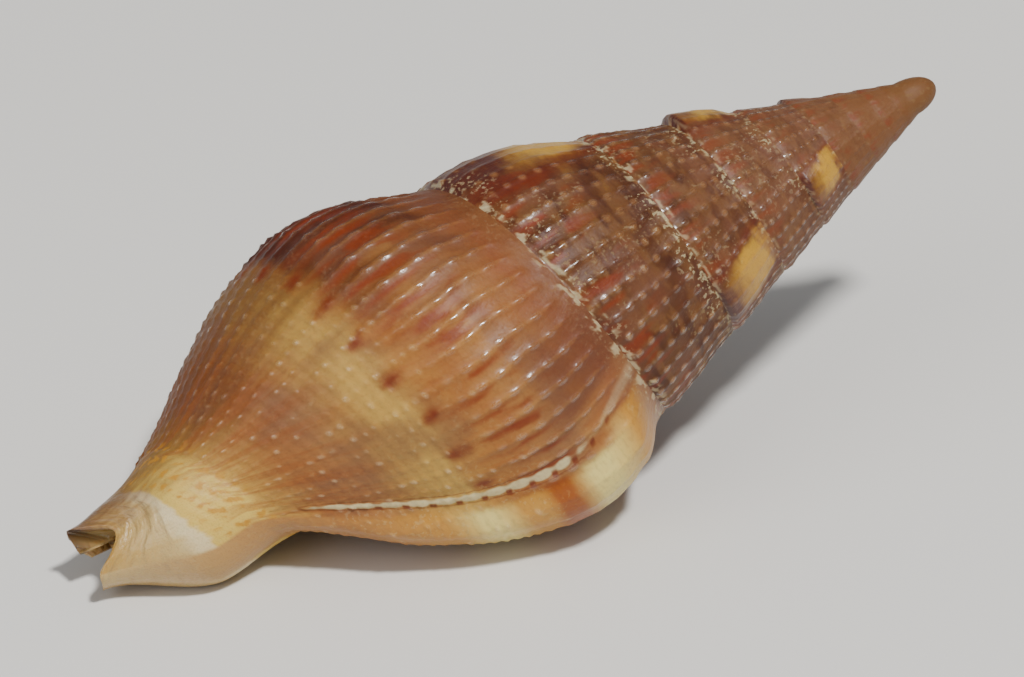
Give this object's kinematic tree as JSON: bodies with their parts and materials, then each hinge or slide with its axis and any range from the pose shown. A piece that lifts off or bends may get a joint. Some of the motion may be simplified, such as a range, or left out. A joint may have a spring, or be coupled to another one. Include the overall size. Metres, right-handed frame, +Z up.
{
  "type": "dwarf triton shell",
  "caption": "Slender right-handed sea snail shell with a tall ribbed spire, rounded varices, an oval aperture and a short open canal.",
  "frame": {"origin": "middle of the bounding box at its base, on the ground it lies on", "axes": "+X along the shell towards its apex, +Z up with the aperture facing down, -Y is the side seen in the picture"},
  "size_m": [0.0488, 0.0216, 0.0178],
  "materials": {
    "shell": "glossy calcium carbonate, tan with brown and cream markings"
  },
  "bodies": {
    "root": {"shell": "shell"}
  },
  "joints": []
}
